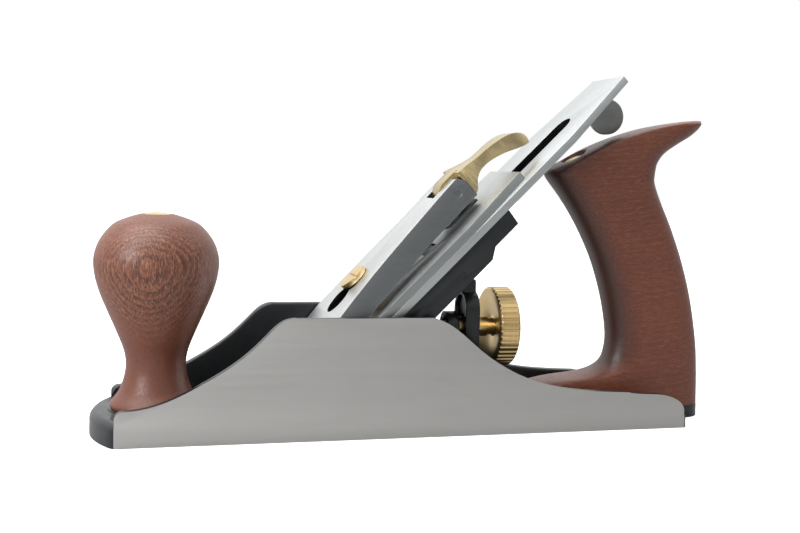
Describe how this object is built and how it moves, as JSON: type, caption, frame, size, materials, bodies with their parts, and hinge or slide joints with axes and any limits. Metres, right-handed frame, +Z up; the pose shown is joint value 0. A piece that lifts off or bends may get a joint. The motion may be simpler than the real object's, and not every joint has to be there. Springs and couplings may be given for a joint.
{
  "type": "hand plane",
  "caption": "Bench smoothing plane with hardwood knob and tote, black frog, steel iron under a cam-clamped lever cap, brass depth wheel and lateral lever",
  "frame": {"origin": "on the sole's plane, half way between the toe and the end of the heel, in the middle plane", "axes": "+X runs from toe to heel, +Y to the side away from the camera, +Z up from the sole"},
  "size_m": [0.2592, 0.057, 0.1448],
  "materials": {
    "body_iron": "ground cheeks and sole, black enamel inside, on the toe and on the upper edges",
    "frog_iron": "black enamel over iron",
    "blade_steel": "fine ground satin",
    "cap_iron_grey": "linished satin grey",
    "lever_steel": "dull rolled steel",
    "spring_steel": "blued spring steel",
    "steel": "turned",
    "dark_steel": "blackened steel",
    "brass": "turned and tumbled brass, slightly tarnished",
    "wood": "red-brown hardwood, satin lacquer"
  },
  "bodies": {
    "body": {"plane_body": "body_iron", "front_knob": "wood", "knob_nut": "brass", "knob_stud": "steel", "tote": "wood", "tote_nut": "brass", "tote_stud": "steel", "frog_lock_screws": "dark_steel"},
    "frog": {"frog": "frog_iron", "frog_pins": "steel", "frog_plate": "dark_steel", "frog_plate_screw": "dark_steel", "lever_cap_screw": "brass", "yoke_pin": "steel", "lateral_rivet": "steel"},
    "frog_screw": {"frog_adjusting_screw": "dark_steel"},
    "depth_stud": {"depth_stud": "steel"},
    "depth_wheel": {"depth_wheel": "brass"},
    "yoke": {"yoke": "frog_iron"},
    "cap_screw": {"cap_iron_screw": "steel"},
    "iron": {"plane_iron": "blade_steel", "cap_iron": "blade_steel"},
    "lateral_lever": {"lateral_lever": "lever_steel", "lateral_roller": "lever_steel"},
    "lever_cap": {"lever_cap": "cap_iron_grey", "cam_pin": "steel", "lever_cap_spring": "spring_steel", "spring_rivet": "steel"},
    "cam_lever": {"cam_lever": "brass"}
  },
  "joints": [
    {"name": "frog_screw_turn", "type": "hinge", "parent": "frog", "child": "frog_screw", "pos_m": [0.00012, 0, 0.01455], "axis": [0.9703, 0, 0.2419], "range_deg": [-541, 361]},
    {"name": "frog_slide", "type": "slide", "parent": "body", "child": "frog", "axis": [0.9703, 0, 0.2419], "range_m": [-0.0012, 0.0008]},
    {"name": "wheel_turn", "type": "hinge", "parent": "depth_stud", "child": "depth_wheel", "pos_m": [0.03, 0, 0.0397], "axis": [-1, 0, 0], "range_deg": [-171, 841]},
    {"name": "stud_travel", "type": "slide", "parent": "frog", "child": "depth_stud", "axis": [1, 0, 0], "range_m": [-0.0005, 0.00247]},
    {"name": "yoke_swing", "type": "hinge", "parent": "frog", "child": "yoke", "pos_m": [0.01306, 0, 0.06293], "axis": [0, -1, 0], "range_deg": [-1.3, 6.3]},
    {"name": "iron_feed", "type": "slide", "parent": "frog", "child": "cap_screw", "axis": [-0.7071, 0, -0.7071], "range_m": [-0.00024, 0.00118]},
    {"name": "iron_skew", "type": "hinge", "parent": "cap_screw", "child": "iron", "pos_m": [-0.03007, 0, 0.03253], "axis": [-0.7071, 0, 0.7071], "range_deg": [-0.74, 0.74]},
    {"name": "lateral_swing", "type": "hinge", "parent": "frog", "child": "lateral_lever", "pos_m": [0.02508, 0, 0.08202], "axis": [-0.7071, 0, 0.7071], "range_deg": [-6, 6]},
    {"name": "lever_cap_slide", "type": "slide", "parent": "frog", "child": "lever_cap", "axis": [0.7071, 0, 0.7071], "range_m": [0, 0.0105]},
    {"name": "cam_swing", "type": "hinge", "parent": "lever_cap", "child": "cam_lever", "pos_m": [0.01334, 0, 0.09518], "axis": [0, -1, 0], "range_deg": [0, 95]}
  ],
  "couplings": [
    {"joint": "frog_screw_turn", "follows": "frog_slide", "rad_per_m": 7854},
    {"joint": "wheel_turn", "follows": "stud_travel", "rad_per_m": 5938.7},
    {"joint": "yoke_swing", "follows": "stud_travel", "rad_per_m": 44.189},
    {"joint": "iron_feed", "follows": "stud_travel", "ratio": 0.473},
    {"joint": "iron_skew", "follows": "lateral_swing", "ratio": -0.1212}
  ]
}
